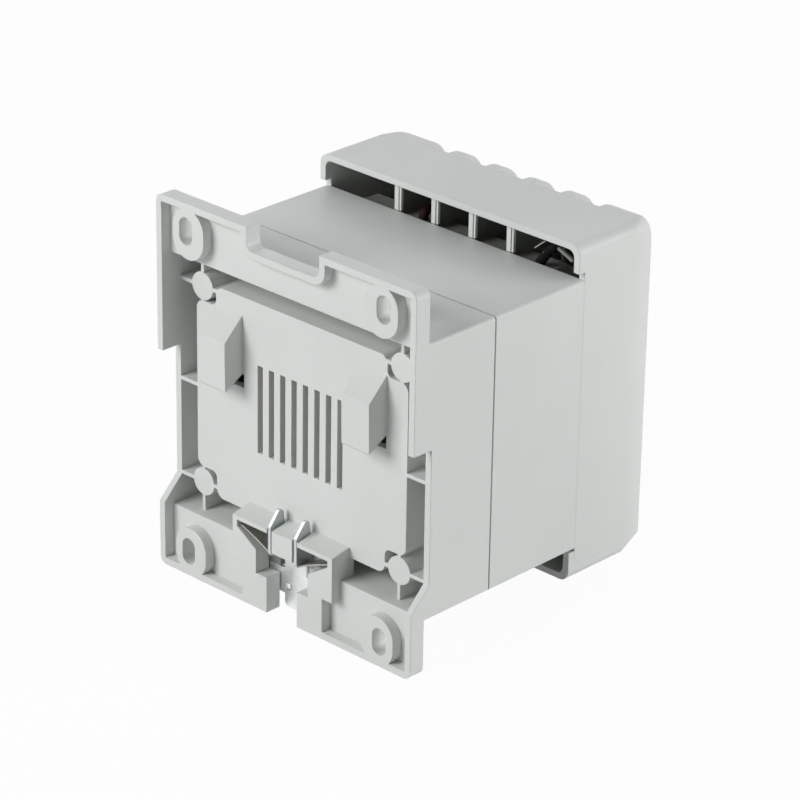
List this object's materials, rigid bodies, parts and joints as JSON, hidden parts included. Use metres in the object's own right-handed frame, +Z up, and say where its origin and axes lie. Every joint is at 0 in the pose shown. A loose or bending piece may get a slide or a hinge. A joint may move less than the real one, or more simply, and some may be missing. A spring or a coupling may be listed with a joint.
{
  "type": "din rail transformer",
  "caption": "Small transformer in a light grey moulded housing with rail hooks, a sprung metal rail latch, slotted mounting corners and hooded terminals top and bottom.",
  "frame": {"origin": "middle of the overall box at its underside, which is the lower edge of the mounting flange", "axes": "+Z up, +Y out of the rear that faces the rail, -Y out of the front cover, X across the width"},
  "size_m": [0.088, 0.0894, 0.1012],
  "materials": {
    "housing_plastic": "light grey moulded plastic, fine matt texture",
    "terminal_plastic": "dark grey moulded plastic",
    "bobbin_plastic": "black glass-filled plastic",
    "zinc_steel": "bright zinc plate",
    "spring_steel": "dark oiled spring steel",
    "core_steel": "stacked laminations under varnish",
    "copper_wire": "enamelled copper",
    "tinned_brass": "tin plate",
    "insulation_film": "polyester film tape",
    "lead_insulation": "lead sleeving"
  },
  "bodies": {
    "housing": {"base_shell": "housing_plastic", "middle_shell": "housing_plastic", "front_cover": "housing_plastic", "latch_spring": "spring_steel", "core_e_stack": "core_steel", "core_i_stack": "core_steel", "bobbin": "bobbin_plastic", "primary_winding": "copper_wire", "winding_insulation": "insulation_film", "secondary_winding": "copper_wire", "winding_tape": "insulation_film", "housing_screws": "zinc_steel", "terminal_block_top": "terminal_plastic", "clamp_cages_top": "zinc_steel", "contact_bars_top": "tinned_brass", "terminal_screws_top": "zinc_steel", "terminal_block_bottom": "terminal_plastic", "clamp_cages_bottom": "zinc_steel", "contact_bars_bottom": "tinned_brass", "terminal_screws_bottom": "zinc_steel", "primary_leads": "lead_insulation", "secondary_leads": "lead_insulation"},
    "latch": {"rail_latch": "zinc_steel"}
  },
  "joints": [
    {"name": "latch_slide", "type": "slide", "parent": "housing", "child": "latch", "axis": [0, 0, -1], "range_m": [0, 0.0035], "stiffness_N_per_m": 2500, "springref_m": -0.002, "deforming": ["latch_spring"]}
  ]
}
